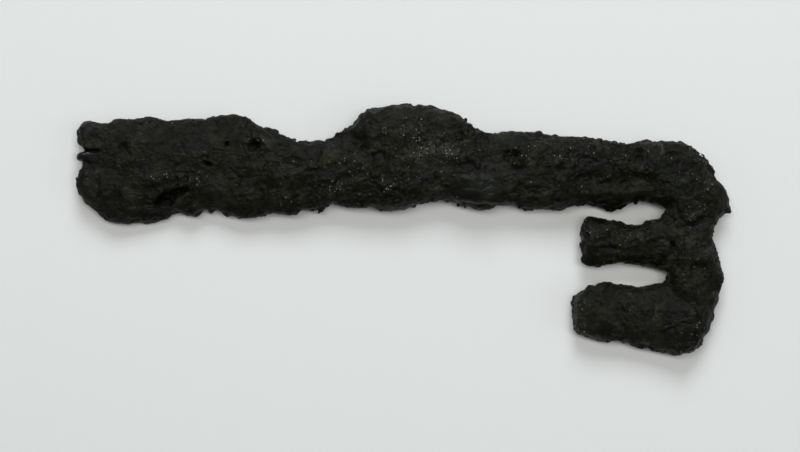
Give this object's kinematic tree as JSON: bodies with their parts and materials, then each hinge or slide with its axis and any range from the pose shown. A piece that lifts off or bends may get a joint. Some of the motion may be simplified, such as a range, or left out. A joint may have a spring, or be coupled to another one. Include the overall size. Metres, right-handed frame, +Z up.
{
  "type": "key",
  "caption": "Corroded flat iron lift key: handle plate with a broken end, straight shank, and a bar bent to a bit whose teeth point back to the handle.",
  "frame": {"origin": "middle of the key's box in plan, on the surface that it lies on", "axes": "+X along the shank from the broken handle end to the bit, +Y across it, away from the teeth, +Z up through the flat of the key"},
  "size_m": [0.1694, 0.0654, 0.0128],
  "materials": {
    "sound_iron": "satin",
    "iron_crust": "satin",
    "smooth_scab": "satin"
  },
  "bodies": {
    "root": {"iron_core": "sound_iron", "handle_crust": "iron_crust", "shank_crust": "iron_crust", "arm_crust": "iron_crust", "inner_tooth_crust": "iron_crust", "outer_tooth_crust": "iron_crust", "shank_hump": "iron_crust", "handle_corner_nodule": "smooth_scab", "handle_end_scab": "smooth_scab", "handle_ledge_flake": "iron_crust", "neck_blister": "smooth_scab", "shank_scab": "smooth_scab", "shank_drip": "smooth_scab", "edge_nodule": "iron_crust", "bend_spur": "smooth_scab", "arm_boss": "iron_crust", "arm_lump": "iron_crust"}
  },
  "joints": []
}
